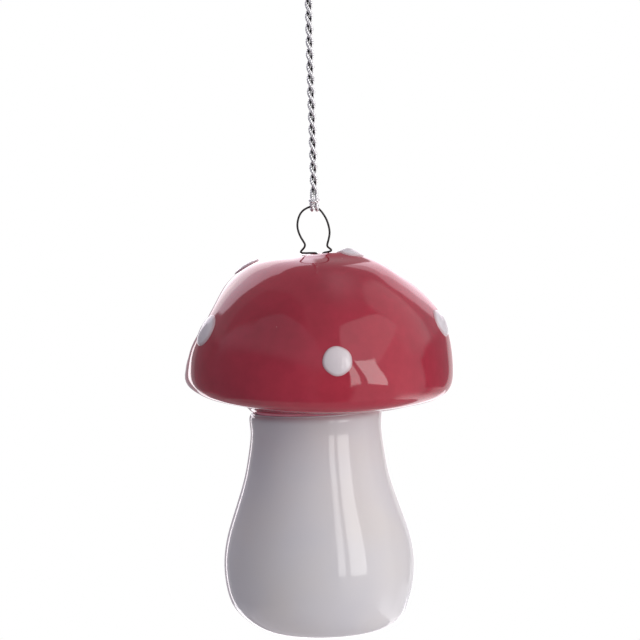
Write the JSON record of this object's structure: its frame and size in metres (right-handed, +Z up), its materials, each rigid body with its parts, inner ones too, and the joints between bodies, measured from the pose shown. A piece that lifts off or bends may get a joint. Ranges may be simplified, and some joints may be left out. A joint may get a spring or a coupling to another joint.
{
  "type": "hanging mushroom ornament",
  "caption": "Hollow glazed mushroom with a spotted red cap on a white stem, hung by a bent wire loop from a doubled metallic cord with a knot and a hanging eye.",
  "frame": {"origin": "top of the cord's hanging eye, where a hook or twig carries the ornament", "axes": "+Z up along the hanging cord, +X to the right of someone who looks at the front spot, along +Y"},
  "size_m": [0.053, 0.0532, 0.1446],
  "materials": {
    "red_glaze": "glossy deep red glaze",
    "white_glaze": "glossy white glaze",
    "spot_glaze": "glossy white glaze, raised",
    "hanger_wire": "dark annealed wire",
    "metallic_cord": "silver metallic thread"
  },
  "bodies": {
    "knot": {"cord_eye": "metallic_cord", "cord_knot": "metallic_cord", "cord_tails": "metallic_cord"},
    "cord": {"cord_legs": "metallic_cord"},
    "hanger": {"wire_hanger": "hanger_wire"},
    "ornament": {"cap_shell": "red_glaze", "stem_shell": "white_glaze", "seam_bead": "white_glaze", "spot_1": "spot_glaze", "spot_2": "spot_glaze", "spot_3": "spot_glaze", "spot_4": "spot_glaze", "spot_5": "spot_glaze", "spot_6": "spot_glaze", "spot_7": "spot_glaze", "spot_8": "spot_glaze"}
  },
  "joints": [
    {"name": "cord_sway", "type": "hinge", "parent": "knot", "child": "cord", "pos_m": [0, 0, -0.01295], "axis": [0, 1, 0], "range_deg": [-35, 35]},
    {"name": "ring_swing", "type": "hinge", "parent": "cord", "child": "hanger", "pos_m": [0, 0, -0.06095], "axis": [1, 0, 0], "range_deg": [-60, 60]},
    {"name": "swivel", "type": "hinge", "parent": "hanger", "child": "ornament", "pos_m": [0.0008, 0, -0.07035], "axis": [0, 0, 1], "continuous": true}
  ]
}
